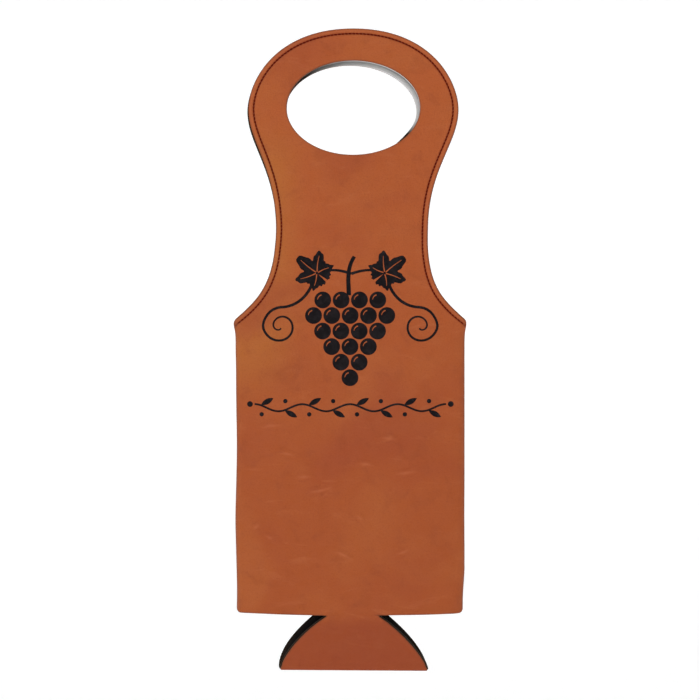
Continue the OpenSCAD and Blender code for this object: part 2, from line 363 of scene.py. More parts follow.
def shell(name, tris, outer, inner, outer_normals, inner_normals, uv, edges_and_painted_light, materials, marked=None):
    """A closed piece between two surfaces of the same triangles. uv lays the grain. The pair of values after
    uv gives first how near a cut edge a point is; on leatherette walls it also lays painted shade where the
    sides roll in to the seam. On leatherette the second value is painted shade where over 0, in the
    stitching's groove, beside creases and along the base's fold, and painted highlight where under 0, on the
    ridge beside the stitching and on crease ridges, which are partly paler where stretched. On foam it is
    painted light on the hand hole's rim. Marked triangles get the second material."""
    used, tris = np.unique(tris, return_inverse=True)
    tris = tris.reshape(-1, 3)
    outer, inner, uv, edges_and_painted_light = outer[used], inner[used], uv[used], edges_and_painted_light[used]
    count = len(used)
    sides = np.vstack([tris[:, [0, 1]], tris[:, [1, 2]], tris[:, [2, 0]]])
    keys = np.sort(sides, axis=1)
    _, first, times = np.unique(keys, axis=0, return_index=True, return_counts=True)
    rim = sides[first[times == 1]]
    quads = np.stack([rim[:, 1], rim[:, 0], rim[:, 0] + count, rim[:, 1] + count], 1)
    co = np.vstack([outer, inner])
    faces = [*tris.tolist(), *(tris[:, ::-1] + count).tolist(), *quads.tolist()]
    across = unit(np.cross(co[quads[:, 1]] - co[quads[:, 0]], co[quads[:, 3]] - co[quads[:, 0]]))
    shared = np.zeros((count, 3))
    np.add.at(shared, rim[:, 0], across)
    np.add.at(shared, rim[:, 1], across)
    shared = unit(shared)
    ends = np.stack([shared[rim[:, 1]], shared[rim[:, 0]], shared[rim[:, 0]], shared[rim[:, 1]]], 1)
    close = (ends * across[:, None, :]).sum(2, keepdims=True) > 0.75
    rim_normals = np.where(close, ends, across[:, None, :])
    normals = np.vstack([
        outer_normals[used][tris].reshape(-1, 3),
        inner_normals[used][tris[:, ::-1]].reshape(-1, 3),
        rim_normals.reshape(-1, 3),
    ])
    mesh = bpy.data.meshes.new(name)
    mesh.from_pydata(co.tolist(), [], faces)
    for material in materials:
        mesh.materials.append(material)
    if marked is not None:
        index = np.zeros(len(faces), int)
        index[:len(tris)] = marked
        mesh.polygons.foreach_set("material_index", index)
    mesh.polygons.foreach_set("use_smooth", np.ones(len(faces), bool))
    loops = np.zeros(len(mesh.loops), int)
    mesh.loops.foreach_get("vertex_index", loops)
    rim_loops = np.zeros(len(mesh.loops))
    rim_loops[len(tris) * 6:] = 1
    lay = mesh.uv_layers.new(name="cut")
    lay.data.foreach_set("uv", np.vstack([uv, uv])[loops].ravel())
    loop_edges_and_painted_light = np.vstack([edges_and_painted_light, edges_and_painted_light])[loops]
    loop_edges_and_painted_light[:, 0] = np.maximum(loop_edges_and_painted_light[:, 0], rim_loops * 0.9)
    mesh.uv_layers.new(name="edges_and_painted_light").data.foreach_set("uv", loop_edges_and_painted_light.ravel())
    mesh.normals_split_custom_set(normals.tolist())
    return linked(name, mesh)


def bare_finish(name):
    """A new material, with its node tree and its shader."""
    material = bpy.data.materials.new(name)
    material.use_nodes = True
    return material, material.node_tree, material.node_tree.nodes["Principled BSDF"]


def lay_of(tree, layer):
    """How a piece lies on the flat cut, or its cut edges and painted light and shade."""
    lay = tree.nodes.new("ShaderNodeUVMap")
    lay.uv_map = layer
    return lay.outputs[0]


def halves(tree, pair):
    apart = tree.nodes.new("ShaderNodeSeparateXYZ")
    tree.links.new(pair, apart.inputs[0])
    return apart.outputs["X"], apart.outputs["Y"]


def clouds(tree, lay, scale, detail=2, rough=0.5, twist=0.0):
    cloud = tree.nodes.new("ShaderNodeTexNoise")
    for key, number in (("Scale", scale), ("Detail", detail), ("Roughness", rough), ("Distortion", twist)):
        cloud.inputs[key].default_value = number
    tree.links.new(lay, cloud.inputs["Vector"])
    return cloud.outputs["Fac"]


def span(tree, value, low, high, to_low, to_high, curve="SMOOTHSTEP"):
    """Turns a value that runs from low to high into one that runs from to_low to to_high."""
    ramp = tree.nodes.new("ShaderNodeMapRange")
    ramp.interpolation_type = curve
    for key, number in (("From Min", low), ("From Max", high), ("To Min", to_low), ("To Max", to_high)):
        ramp.inputs[key].default_value = number
    tree.links.new(value, ramp.inputs["Value"])
    return ramp.outputs[0]


def shades(tree, value, dark, light, low=0.0, high=1.0):
    ramp = tree.nodes.new("ShaderNodeValToRGB")
    for stop, place_at, colour in zip(ramp.color_ramp.elements, (low, high), (dark, light)):
        stop.position = place_at
        stop.color = (*colour, 1)
    tree.links.new(value, ramp.inputs["Fac"])
    return ramp.outputs["Color"]


def tint(tree, amount, colour, before):
    """Lays a colour over the one before it by amount."""
    mix = tree.nodes.new("ShaderNodeMix")
    mix.data_type = "RGBA"
    tree.links.new(amount, mix.inputs["Factor"])
    for key, given in (("A", before), ("B", colour)):
        if isinstance(given, tuple):
            mix.inputs[key].default_value = (*given, 1)
        else:
            tree.links.new(given, mix.inputs[key])
    return mix.outputs["Result"]


def both(tree, first, second):
    product = tree.nodes.new("ShaderNodeMath")
    product.operation = "MULTIPLY"
    tree.links.new(first, product.inputs[0])
    tree.links.new(second, product.inputs[1])
    return product.outputs[0]


def relief(tree, height, strength, distance, under=None):
    bump = tree.nodes.new("ShaderNodeBump")
    bump.inputs["Strength"].default_value = strength
    bump.inputs["Distance"].default_value = distance
    tree.links.new(height, bump.inputs["Height"])
    if under is not None:
        tree.links.new(under, bump.inputs["Normal"])
    return bump.outputs[0]


LOW_TAN = (0.335, 0.0712, 0.0165)
TOP_PAINTED_LIGHT_TAN = (0.385, 0.0863, 0.0205)
WARM_TAN = (0.41, 0.133, 0.0244)


def leatherette(name):
    """Tan leatherette: clouded and mottled, with a close grain. It is warmer on the left of its neck and dull
    at cut edges. Painted light makes it lighter up the flap. Painted shade darkens it where the sides roll in
    to the seam, on the bend at the bottom and the base, in the stitching's groove, beside creases and along
    the base's fold.
    Painted highlights lighten the ridge beside the stitching and the crease ridges, which are partly paler
    where stretched."""
    material, tree, shader = bare_finish(name)
    lay = lay_of(tree, "cut")
    across, up = halves(tree, lay)
    # The second uv pair lays the cut edges, with painted shade where the sides roll in, then painted shade
    # where over 0 and painted highlight where under 0.
    near_edge, painted_shade_and_highlight = halves(tree, lay_of(tree, "edges_and_painted_light"))
    drawn = tree.nodes.new("ShaderNodeMapping")
    drawn.inputs["Scale"].default_value = (34, 120, 1)
    drawn.inputs["Rotation"].default_value = (0, 0, 0.12)
    tree.links.new(lay, drawn.inputs[0])
    # Painted light: the tan grows lighter from the bottom up to the top of the flap.
    colour = tint(tree, span(tree, up, -0.2, 0.19, 0, 1), TOP_PAINTED_LIGHT_TAN, LOW_TAN)
    left_neck = both(tree, span(tree, up, -0.06, -0.015, 0, 1), span(tree, up, 0.1, 0.14, 1, 0))
    left_neck = both(tree, left_neck, span(tree, across, -0.026, -0.052, 0, 0.55))
    colour = tint(tree, left_neck, WARM_TAN, colour)
    for value, low, high, most, shade in (
        (clouds(tree, lay, 16, 3, 0.55, 0.6), 0.42, 0.68, 0.55, (0.385, 0.1, 0.0245)),  # light clouds
        (clouds(tree, lay, 11, 2, 0.5, 0.9), 0.44, 0.7, 0.55, (0.285, 0.05, 0.0165)),  # dark clouds
        (clouds(tree, lay, 75, 5, 0.6, 0.5), 0.5, 0.78, 0.42, (0.235, 0.046, 0.014)),  # mottling
        (clouds(tree, drawn.outputs[0], 1, 4, 0.6, 1.2), 0.56, 0.74, 0.32, (0.43, 0.118, 0.038)),  # streaks
        (clouds(tree, lay, 900, 3, 0.6), 0.45, 0.8, 0.35, (0.2, 0.04, 0.013)),  # pores
        (up, -0.187, -0.198, 0.6, (0.245, 0.041, 0.0125)),  # painted shade on the bend at the bottom, and the base
        (painted_shade_and_highlight, -0.02, -0.6, 0.5, (0.48, 0.136, 0.056)),  # painted highlight on crease ridges, partly paler stretched face, and beside the stitching
        (painted_shade_and_highlight, 0.0, 0.9, 0.9, (0.12, 0.012, 0.0025)),  # painted shade in the stitching's groove, beside creases and along the base's fold
        (near_edge, 0.15, 1.0, 0.75, (0.17, 0.052, 0.022)),  # cut edges, and painted shade where the sides roll in to the seam
    ):
        colour = tint(tree, span(tree, value, low, high, 0, most), shade, colour)
    tree.links.new(colour, shader.inputs["Base Color"])
    worn = span(tree, clouds(tree, lay, 140, 4, 0.6), 0.35, 0.7, 0.56, 0.72)
    tree.links.new(worn, shader.inputs["Roughness"])
    shader.inputs["Specular IOR Level"].default_value = 0.18
    grain = tree.nodes.new("ShaderNodeTexVoronoi")
    grain.feature = "SMOOTH_F1"
    grain.inputs["Scale"].default_value = 1300
    tree.links.new(lay, grain.inputs["Vector"])
    pebbled = relief(tree, grain.outputs["Distance"], 0.5, 0.00018)
    wrinkled = relief(tree, clouds(tree, lay, 60, 5, 0.6, 1.1), 0.5, 0.0006, pebbled)
    tree.links.new(wrinkled, shader.inputs["Normal"])
    return material


tan = leatherette("tan_leatherette")


# The ornament. The front face is engraved through to its black layer with a bunch of grapes between two vine
# leaves and tendrils, above a slim border of running vine. It is a common pattern, drawn here as flat loops.
BLACK_LAYER = (0.0045, 0.0032, 0.0042)
PALER_BLACK_LAYER = (0.014, 0.011, 0.0125)
ENGRAVED_DEPTH = 0.13


def engraved(name):
    """Where the face is engraved away, the black layer under it shows: matt, with faint paler patches."""
    material, tree, shader = bare_finish(name)
    lay = lay_of(tree, "cut")
    paler_patches = clouds(tree, lay, 130, 5, 0.5, 1.4)
    tree.links.new(shades(tree, paler_patches, BLACK_LAYER, PALER_BLACK_LAYER, 0.45, 0.75), shader.inputs["Base Color"])
    shader.inputs["Roughness"].default_value = 0.7
    shader.inputs["Specular IOR Level"].default_value = 0.1
    tree.links.new(relief(tree, clouds(tree, lay, 1500), 0.3, 0.0001), shader.inputs["Normal"])
    return material


black_engraving = engraved("black_engraving")


def ribbon(points, width, taper=0.0):
    """The outline of a stroke, thinner towards its end by the share taper."""
    points = np.array(points, float)
    half = width / 2 * (1 - taper * np.linspace(0, 1, len(points)))[:, None]
    aside = left_of(points) * half
    return np.vstack([points + aside, (points - aside)[::-1]])


def turned_by(points, angle, at):
    c, s = math.cos(angle), math.sin(angle)
    points = np.array(points, float)
    return np.stack([points[:, 0] * c - points[:, 1] * s, points[:, 0] * s + points[:, 1] * c], 1) + at


def disc(centre, radius, count=26):
    turn = np.linspace(0, 2 * math.pi, count, endpoint=False)
    return np.stack([np.cos(turn), np.sin(turn)], 1) * radius + centre


GRAPE_R = 5.5
GRAPE_PITCH = 11.9
grape_rows = ((15.0, 4), (4.9, 5), (-5.2, 4), (-15.3, 3), (-25.4, 2), (-35.5, 1))
grapes = [((i - (n - 1) / 2) * GRAPE_PITCH, h) for h, n in grape_rows for i in range(n)]
black_loops = [disc(at, GRAPE_R) for at in grapes]
deep_loops = [disc(at, GRAPE_R - 0.4, 22) for at in grapes]
bare_loops = []
shine = np.linspace(math.radians(105), math.radians(175), 7)
for at in grapes:
    bare_loops.append(ribbon(np.stack([np.cos(shine), np.sin(shine)], 1) * 3.4 + at, 0.8, 0.5))
LOBES = ((90, 1.0, 0.8), (32, 0.86, 0.66), (148, 0.86, 0.66), (-28, 0.68, 0.5), (208, 0.68, 0.5))


def vine_leaf(size, angle, at):
    """A leaf of five toothed lobes with bare veins. Each lobe has an angle, a length and a vein's length."""
    turn = np.linspace(math.radians(-84), math.radians(264), 92)
    reach = np.full(len(turn), 0.52)
    for lobe, length, _ in LOBES:
        apart = np.abs((np.degrees(turn) - lobe + 180) % 360 - 180)
        reach = np.maximum(reach, length * (1 - 0.5 * np.clip(apart / 29, 0, 1) ** 1.3))
    reach = size * (reach + 0.028 * np.sin(turn * 23))
    outline = np.stack([np.cos(turn), np.sin(turn)], 1) * reach[:, None]
    black_loops.append(turned_by(np.vstack([outline, [(0, -0.06 * size)]]), angle, at))
    deep_loops.append(turned_by(outline * 0.955, angle, at))
    for lobe, _, length in LOBES:
        a = math.radians(lobe)
        along = np.linspace(0.05, length, 9)[:, None] * size
        bend = np.sin(np.linspace(0, math.pi, 9))[:, None] * 0.02 * size
        vein = np.array([[math.cos(a), math.sin(a)]]) * along + np.array([[-math.sin(a), math.cos(a)]]) * bend
        bare_loops.append(turned_by(ribbon(vein, 0.75, 0.6), angle, at))


for side in (-1, 1):
    vine_leaf(17.0, side * math.radians(-52), (side * 22.0, 32.5))
    sweep = np.linspace(0, 1, 46)[:, None]
    turn = math.pi / 2 + sweep * 3.1 * math.pi
    tendril = np.hstack([np.cos(turn), np.sin(turn)]) * (11.0 * (1 - sweep) ** 0.8 + 1.3) * (-1, 1)
    tendril = tendril * (side, 1) + (side * 45.0, -2.0)
    lead = curve_points((side * 24, 28), tendril[0], [(0.2, 0.8), (0.7, 1.0)], 14)
    black_loops.append(ribbon(np.vstack([lead, tendril]), 2.0, 0.5))
stem = curve_points((-1, 18), (3.5, 45), [(0, 0.3), (-0.6, 0.7)], 14)
black_loops.append(ribbon(stem, 3.0, 0.2))
for side in (-1, 1):
    arm = curve_points((0.3, 32), (side * 20, 33), [(0.2, 1.5), (0.6, 4)], 10)
    black_loops.append(ribbon(arm, 1.9, 0.2))
BORDER_H = -55.0
BORDER_WAVE = 15.5
border_x = np.linspace(-62, 62, 125)
border = np.stack([border_x, BORDER_H + 2.3 * np.cos(border_x * math.pi / BORDER_WAVE)], 1)
black_loops.append(ribbon(border, 1.3))
sprig = np.linspace(-1, 1, 15)
leaf = np.vstack([np.stack([sprig * 4.6, 1.75 * (1 - sprig**2)], 1),
                  np.stack([sprig[::-1] * 4.6, -1.75 * (1 - sprig**2)], 1)[1:-1]])
for i in range(-4, 4):
    x = (i + 0.5) * BORDER_WAVE
    up = 1 if i % 2 == 0 else -1
    black_loops.append(turned_by(leaf, 0.5 * up, (x + 0.5, BORDER_H + 4.0 * up)))
    black_loops.append(disc((x - 3.2, BORDER_H - 4.3 * up), 1.45, 16))
for side in (-1, 1):
    black_loops.append(disc((side * 65, BORDER_H + 2.3), 1.9, 18))


# The walls and flaps made up. Use has pressed short creases into both faces. Each cut is divided at the lines
# that it bends along.
NET_STEP = 2.4
EDGE_ROWS = (0.12, 0.35, 0.8, 1.4, 2.1, 2.7, 3.05, 3.4, 3.75, 4.1, 5.2)
HOLE_ROWS = (0.2, 0.5, 1.0, 2.2)
FOLD_X = 39.48
FOLD_REACH = 14
FLARE_REACH = 21.6
NECK_BEND = (39.5, 69.5)
HANDLE_BEND = (70, 100)
BACK_SHEET_AT = (1.3, 0.7)


def crease_line(x, h, length, angle, bow):
    """A bowed line of a length about a place, turned by an angle in degrees."""
    along = np.linspace(-length / 2, length / 2, max(5, int(length / 1.4)))
    line = np.stack([along, bow * (1 - (2 * along / length) ** 2)], 1)
    return turned_by(line, math.radians(angle), (x, h))


front_creases = [crease_line(*c) for c in (
    (-51, -68, 22, 6, 1.2), (-20, -107, 26, 14, -2.0), (-30, -101, 16, 4, 1.0), (6, -127, 9, -32, 0.6),
    (10, -93, 18, -8, 1.5), (-60, -133, 9, 38, 0.5), (-52, -140, 8, -20, 0.4), (36, -96, 24, 9, -1.4),
    (-41, -86, 18, -12, 1.0), (25, -76, 20, -4, 1.2), (-5, -152, 22, -24, 1.6), (34, -148, 16, 20, -1.0),
)]
front_net = net(NET_STEP, EDGE_ROWS, HOLE_ROWS, [*black_loops, *bare_loops], deep_loops, front_creases)
front_cut = wall_facts(front_net, FRONT_NECK_HALF, front_creases)
black = np.zeros(len(front_cut["tris"]), bool)
for loop in black_loops:
    black |= inside(front_cut["middle"], loop)
for loop in bare_loops:
    black &= ~inside(front_cut["middle"], loop)
bare_points = np.zeros(len(front_cut["flat"]), bool)
bare_points[np.unique(front_cut["tris"][~black])] = True
front_cut["sunk"] = np.where(bare_points, 0.0, ENGRAVED_DEPTH)
back_creases = [crease_line(*c) for c in (
    (40, -60, 20, -8, 1.0), (-18, -88, 26, 10, 1.6), (22, -118, 18, 28, -1.0), (-44, -130, 14, -16, 0.8),
    (8, -150, 22, 5, -1.4), (50, -142, 10, 40, 0.4), (-30, -40, 16, 14, 1.0),
)]
back_cut = wall_facts(net(NET_STEP, EDGE_ROWS, HOLE_ROWS, creases=back_creases), BACK_NECK_HALF, back_creases)


def regions(cut):
    """The pieces of a wall: each with its triangles, the two bodies it bends between, and where."""
    x, h = cut["middle"].T
    run = FLARE_REACH / math.hypot(1, SHOULDER_SLOPE)
    zones = []
    for side, word in ((-1, "left"), (1, "right")):
        near, far = side * (FOLD_X - FOLD_REACH), side * (FOLD_X + FOLD_REACH)
        flare_end = (near + side * run, -SHOULDER_SLOPE * run)
        flare = (h > 0) & (h < FLARE_TOP_H) & (x * side > 0)
        zones.append((f"wall_{word}", (h < 0) & (x * side > 0), "panel", word, (near, 0), (far, 0)))
        zones.append((f"flare_{word}", flare, "panel", word, (near, 0), flare_end))
    neck = (h > FLARE_TOP_H) & (h < NECK_TOP_H)
    zones.append(("neck", neck, "panel", "neck", (0, NECK_BEND[0]), (0, NECK_BEND[1])))
    zones.append(("handle", h > NECK_TOP_H, "neck", "handle", (0, HANDLE_BEND[0]), (0, HANDLE_BEND[1])))
    return zones


def bend_between(piece, wall, layer, a, b):
    """Bakes a piece of a wall in place and hides the parts of its two bodies that it stands for."""
    bodies = (f"{wall}_{a}", f"{wall}_{b}")
    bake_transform(piece)
    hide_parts(*[f"{body}_{layer}" for body in bodies])


def stand_up(cut, wall, layer, low_depth, high_depth, materials, marked=None):
    """Makes the pieces of one layer of a wall and hides the parts that they stand for."""
    high = place(cut, high_depth, wall)
    outward = -1 if wall == "front" else 1
    if "sunk" in cut:
        high[:, 1] -= outward * cut["sunk"] * MM
    low = place(cut, low_depth, wall)
    high_normals = smooth_normals(high, cut["tris"]) * -outward
    low_normals = -smooth_normals(low, cut["tris"]) * -outward
    uv = cut["flat"] * MM + ((0, 0) if wall == "front" else BACK_SHEET_AT)
    # The first value is how near a cut edge a point is, with painted shade where the sides roll in to the
    # seam.
    edges_and_painted_light = np.stack([np.maximum(np.exp(-cut["edge"] / 0.9), np.exp(-(cut["side"] + 0.4) / 2.0)),
                     # The second value is painted shade in the stitching's groove and on the dark line beside
                     # each crease, and painted highlight on the ridge beside the stitching and on each
                     # crease's ridge, which is partly the paler stretched face.
                     bell(cut["stitch"] - STITCH_INSET, 0.6) - 0.3 * bell(cut["stitch"] - 1.6, 1.1)
                     - 0.4 * cut["crease"]], 1)
    # Painted light: light comes through the hand hole, and the foam's rim is painted pale from its upper left
    # to its right.
    if layer == "lining":
        x, h = cut["flat"].T
        rim = ease((4.4 - cut["hole"]) / 3.0) if wall == "back" else ease((0.9 - cut["hole"]) / 0.8)
        edges_and_painted_light[:, 1] = ease((x + 36) / 62) * ease((h - 123) / 11) * rim
    for name, mask, a, b, start, end in regions(cut):
        tris = cut["tris"][mask]
        if wall == "back":
            tris = tris[:, ::-1]
        piece = shell(f"{wall}_{layer}_{name}", tris, high, low, high_normals, low_normals, uv, edges_and_painted_light,
                      materials, marked[mask] if marked is not None else None)
        bend_between(piece, wall, layer, a, b)


stand_up(front_cut, "front", "leather", LINING_T, WALL_T, [tan, black_engraving], black)
stand_up(back_cut, "back", "leather", LINING_T, WALL_T, [tan])


# The foam lining. Black foam with a close knit face is laminated to the inside of each wall and flap. Its cut
# edge shows all round the flaps and the hand holes.
FOAM_DARK = (0.007, 0.0065, 0.0068)
FOAM_LIGHT = (0.0155, 0.0145, 0.0145)
RAW_EDGE = (0.024, 0.0125, 0.005)
PAINTED_RIM_LIGHT_DIM = (0.05, 0.043, 0.035)
PAINTED_RIM_LIGHT_PALE = (0.68, 0.67, 0.66)
FOAM_STEP = 4.2
FOAM_EDGE_ROWS = (0.25, 0.8, 1.6, 2.6, 3.4, 4.3)
FOAM_HOLE_ROWS = (0.3, 0.9, 1.7, 2.6, 3.5, 4.4)
OVERHANG = 0.22


def foam(name):
    """Black foam with a ribbed knit face, browner where it is cut, and with painted light, pale, on the rim
    of the hand hole.
    """
    material, tree, shader = bare_finish(name)
    lay = lay_of(tree, "cut")
    near_edge, rim = halves(tree, lay_of(tree, "edges_and_painted_light"))
    colour = shades(tree, clouds(tree, lay, 60, 4), FOAM_DARK, FOAM_LIGHT, 0.3, 0.75)
    colour = tint(tree, near_edge, RAW_EDGE, colour)
    # Painted light on the hand hole's rim, from dim at its upper left to pale at its right.
    painted_rim_light = span(tree, rim, 0, 0.12, 0, 1, "LINEAR")
    colour = tint(tree, painted_rim_light, shades(tree, rim, PAINTED_RIM_LIGHT_DIM, PAINTED_RIM_LIGHT_PALE), colour)
    tree.links.new(colour, shader.inputs["Base Color"])
    shader.inputs["Roughness"].default_value = 0.9
    shader.inputs["Specular IOR Level"].default_value = 0.06
    shader.inputs["Sheen Weight"].default_value = 0.04
    shader.inputs["Sheen Roughness"].default_value = 0.5
    rib = tree.nodes.new("ShaderNodeTexWave")
    rib.inputs["Scale"].default_value = 230
    rib.inputs["Distortion"].default_value = 0.6
    rib.inputs["Detail"].default_value = 1
    tree.links.new(lay, rib.inputs["Vector"])
    knit = tree.nodes.new("ShaderNodeTexVoronoi")
    knit.inputs["Scale"].default_value = 1100
    tree.links.new(lay, knit.inputs["Vector"])
    face = tree.nodes.new("ShaderNodeMath")
    face.operation = "MULTIPLY_ADD"
    face.inputs[1].default_value = 0.5
    tree.links.new(rib.outputs["Fac"], face.inputs[0])
    tree.links.new(knit.outputs["Distance"], face.inputs[2])
    tree.links.new(relief(tree, face.outputs[0], 0.5, 0.00025), shader.inputs["Normal"])
    return material


def flap_overhang(cut, reach):
    """Moves the points on the flap's edge outward by reach, so that the foam shows past the leatherette."""
    inward = left_of(flap_line)
    moved = np.zeros_like(cut["flat"])
    for i in np.nonzero((cut["stitch"] < 0.5) & (cut["flat"][:, 1] > 2))[0]:
        nearest = np.argmin(((flap_line - cut["flat"][i]) ** 2).sum(1))
        moved[i] = -inward[nearest]
    return moved * reach * (1 - np.clip(cut["stitch"], 0, 0.5) / 0.5)[:, None]


black_foam = foam("black_foam")
foam_cut = net(FOAM_STEP, FOAM_EDGE_ROWS, FOAM_HOLE_ROWS)
for wall, neck_half in (("front", FRONT_NECK_HALF), ("back", BACK_NECK_HALF)):
    wall_facts(foam_cut, neck_half)
    foam_cut["overhang"] = flap_overhang(foam_cut, OVERHANG)
    stand_up(foam_cut, wall, "lining", 0, LINING_T, [black_foam])


# The folding base. The same cut runs on from the front wall through a narrow neck, folds in the middle and
# joins the back wall by a wider neck. Hanging empty, it is folded flat under the pouch.
BASE_L = 36.0
BASE_HALF_W = 48.75
FRONT_BASE_SHARES = [(0.35, 0.19), (0.865, 0.64)]
BACK_BASE_SHARES = [(0.345, 0.22), (0.935, 0.58)]
HINGE_Y = 4.5
HINGE_Z = -361.3
WALL_END_Z = -361.0
FOLD_START = 31.5
FOLD_GRAIN = 9
FOLD_LOW = {0: -397.05, LINING_T: -397.4, WALL_T: -398.15}
CUT_END_H = BOTTOM_H - 2 * BASE_L - FOLD_GRAIN
FRONT_SHIFT = 1.45
base_tilt = math.asin(HINGE_Y / BASE_L)


def base_half_width(neck_half, shares):
    """Half the base's width at each length below the wall's bottom edge."""
    end = (BASE_HALF_W, BASE_L)
    side = np.vstack([curve_points((neck_half, 0), end, shares, 60), [end]])
    return lambda down: np.interp(down, side[:, 1], side[:, 0])


front_half_width = base_half_width(FRONT_NECK_HALF, FRONT_BASE_SHARES)
back_half_width = base_half_width(BACK_NECK_HALF, BACK_BASE_SHARES)


def hanging(down, depth, outward):
    """A point of a base half's section, depth outside its lining's inner face."""
    c, s = math.cos(base_tilt), math.sin(base_tilt)
    return (outward * (HINGE_Y - down * s + depth * c), HINGE_Z - down * c - depth * s)


def fold_point(turn, depth):
    """A point of the fold's section: turn goes from 0 at the front half to 1 at the back half."""
    reach, height = hanging(FOLD_START, depth, 1)
    angle = math.pi * turn
    power = 0.62 if depth else 1.0
    y = -reach * math.copysign(abs(math.cos(angle)) ** power, math.cos(angle))
    return (y, height + (FOLD_LOW[depth] - height) * math.sin(angle) ** power)


def strip_tris(rows, across):
    """The triangles of a net of so many rows, with so many points across."""
    a = np.array([i * across + j for i in range(rows - 1) for j in range(across - 1)])
    return np.stack([a, a + across, a + 1, a + 1, a + across, a + across + 1], 1).reshape(-1, 3)


def base_strip(rows, layer):
    """One piece of the base as a net of rows. Each row is its half width, its grain height, its outer and
    inner points in section, how much painted shade darkens it, and how far it stands to the right."""
    inset = np.array([0, 0.25, 0.7, 1.4, 2.6])
    share = np.linspace(-1, 1, 27)
    foam_past = 0.65 if layer == "lining" else 0.0
    outer, inner, uv, edges_and_painted_light = [], [], [], []
    for half, height, (outer_y, outer_z), (inner_y, inner_z), fold_painted_shade, shift in rows:
        half = half * 0.993 + foam_past
        x = np.concatenate([-half + inset, share * (half - 4), (half - inset)[::-1]])
        near = half - np.abs(x)
        drop = 0.4 * np.clip(1 - near / 0.9, 0, 1) ** 2
        way = np.array([outer_y - inner_y, outer_z - inner_z])
        way = way / max(np.linalg.norm(way), 1e-9)
        down = np.clip((HINGE_Z - outer_z) / BASE_L, 0, 1.02)
        aside = x + 0.3 + 1.75 * down**2 + shift
        lift = -0.3 * down * x / BASE_HALF_W - 0.2 * down
        raw = 0.9 + 2.4 * down**2 if layer == "lining" else 0.9
        outer.append(np.stack([aside, outer_y - drop * way[0], outer_z - drop * way[1] + lift], 1))
        inner.append(np.stack([aside, np.full(len(x), inner_y), inner_z + lift], 1))
        uv.append(np.stack([x, np.full(len(x), height)], 1))
        edges_and_painted_light.append(np.stack([np.exp(-near / raw), np.full(len(x), 0 if layer == "lining" else fold_painted_shade)], 1))
    return [np.vstack(v) for v in (outer, inner, uv, edges_and_painted_light)] + [strip_tris(len(rows), len(x))]


def base_piece(part, rows, layer, nodes):
    """Makes one piece of the base, for the nodes that it stands for."""
    outer, inner, uv, edges_and_painted_light, tris = base_strip(rows, layer)
    outer, inner, uv = outer * MM, inner * MM, uv * MM
    piece = shell(f"{part}_{layer}", tris, outer, inner, smooth_normals(outer, tris),
                  -smooth_normals(inner, tris), uv, edges_and_painted_light, [tan if layer == "leather" else black_foam])
    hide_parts(*[f"{node}_{layer}" for node in nodes])
    return piece


front_downs = [0, 0.6, 1.2, 2, 3, 4, 5, 6.2, 7.6, 9.2, *np.arange(11.5, FOLD_START, 2.5), FOLD_START]
back_downs = [FOLD_START, *np.arange(29, 1, -2.5), 1.0, 0]
for layer, low, high in (("leather", LINING_T, WALL_T), ("lining", 0, LINING_T)):
    rows = []
    for d in front_downs:
        section = [hanging(d, depth, -1) if d else (-HINGE_Y - depth, WALL_END_Z) for depth in (high, low)]
        shift = FRONT_SHIFT * (1 - 0.6 * d / BASE_L)
        rows.append((front_half_width(d), BOTTOM_H - d, *section, 0, shift))
    piece = base_piece("base_front", rows, layer, ["base_front"])
    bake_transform(piece)

    rows = []
    for t in np.linspace(0, 1, 19):
        down = FOLD_START + (BASE_L - FOLD_START) * math.sin(math.pi * t)
        half = (front_half_width if t < 0.5 else back_half_width)(min(down, BASE_L))
        if abs(t - 0.5) < 0.3:
            half -= 0.5 * bell(t - 0.5, 0.12)
        # Painted shade darkens the middle of the fold.
        crease = 0.6 * bell(t - 0.5, 0.14)
        shift = FRONT_SHIFT * (1 - 0.6 * FOLD_START / BASE_L) * (1 - t)
        height = BOTTOM_H - FOLD_START - FOLD_GRAIN * t
        rows.append((half, height, fold_point(t, high), fold_point(t, low), crease, shift))
    piece = base_piece("base_fold", rows, layer, ["base_front", "base_back"])
    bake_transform(piece)

    rows = [(back_half_width(d), CUT_END_H + d, hanging(d, high, 1), hanging(d, low, 1), 0, 0)
            for d in back_downs]
    for angle in np.radians(np.arange(0, 91, 11.25))[1:]:
        knuckle = [(HINGE_Y + r * math.cos(angle - base_tilt), HINGE_Z + r * math.sin(angle - base_tilt))
                   for r in (high - 0.12 * (layer == "leather"), low)]
        rows.append((BACK_NECK_HALF - 0.4, CUT_END_H - high * angle, *knuckle, 0, 0))
    piece = base_piece("base_back", rows, layer, ["base_back"])
    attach(piece, "base_back")


# The topstitching. One row of lockstitch in dark russet thread follows each flap's edge from shoulder to
# shoulder, and every stitch is pulled down into the face.
RUSSET = (0.11, 0.006, 0.0008)
PITCH = 2.35
STITCH_LEN = 1.95
THREAD_R = 0.54
STITCH_SINK = 0.27
STITCH_TILT = 0.16


def thread(name, colour):
    """Plied thread, with the twist showing as fine slanting bands."""
    material, tree, shader = bare_finish(name)
    ply = tree.nodes.new("ShaderNodeTexWave")
    ply.bands_direction = "DIAGONAL"
    ply.inputs["Scale"].default_value = 900
    tree.links.new(lay_of(tree, "cut"), ply.inputs["Vector"])
    dark, light = tuple(c * 0.75 for c in colour), tuple(min(1, c * 1.2) for c in colour)
    tree.links.new(shades(tree, ply.outputs["Fac"], dark, light), shader.inputs["Base Color"])
    shader.inputs["Roughness"].default_value = 0.65
    shader.inputs["Specular IOR Level"].default_value = 0.04
    tree.links.new(relief(tree, ply.outputs["Fac"], 0.6, 0.0001), shader.inputs["Normal"])
    return material


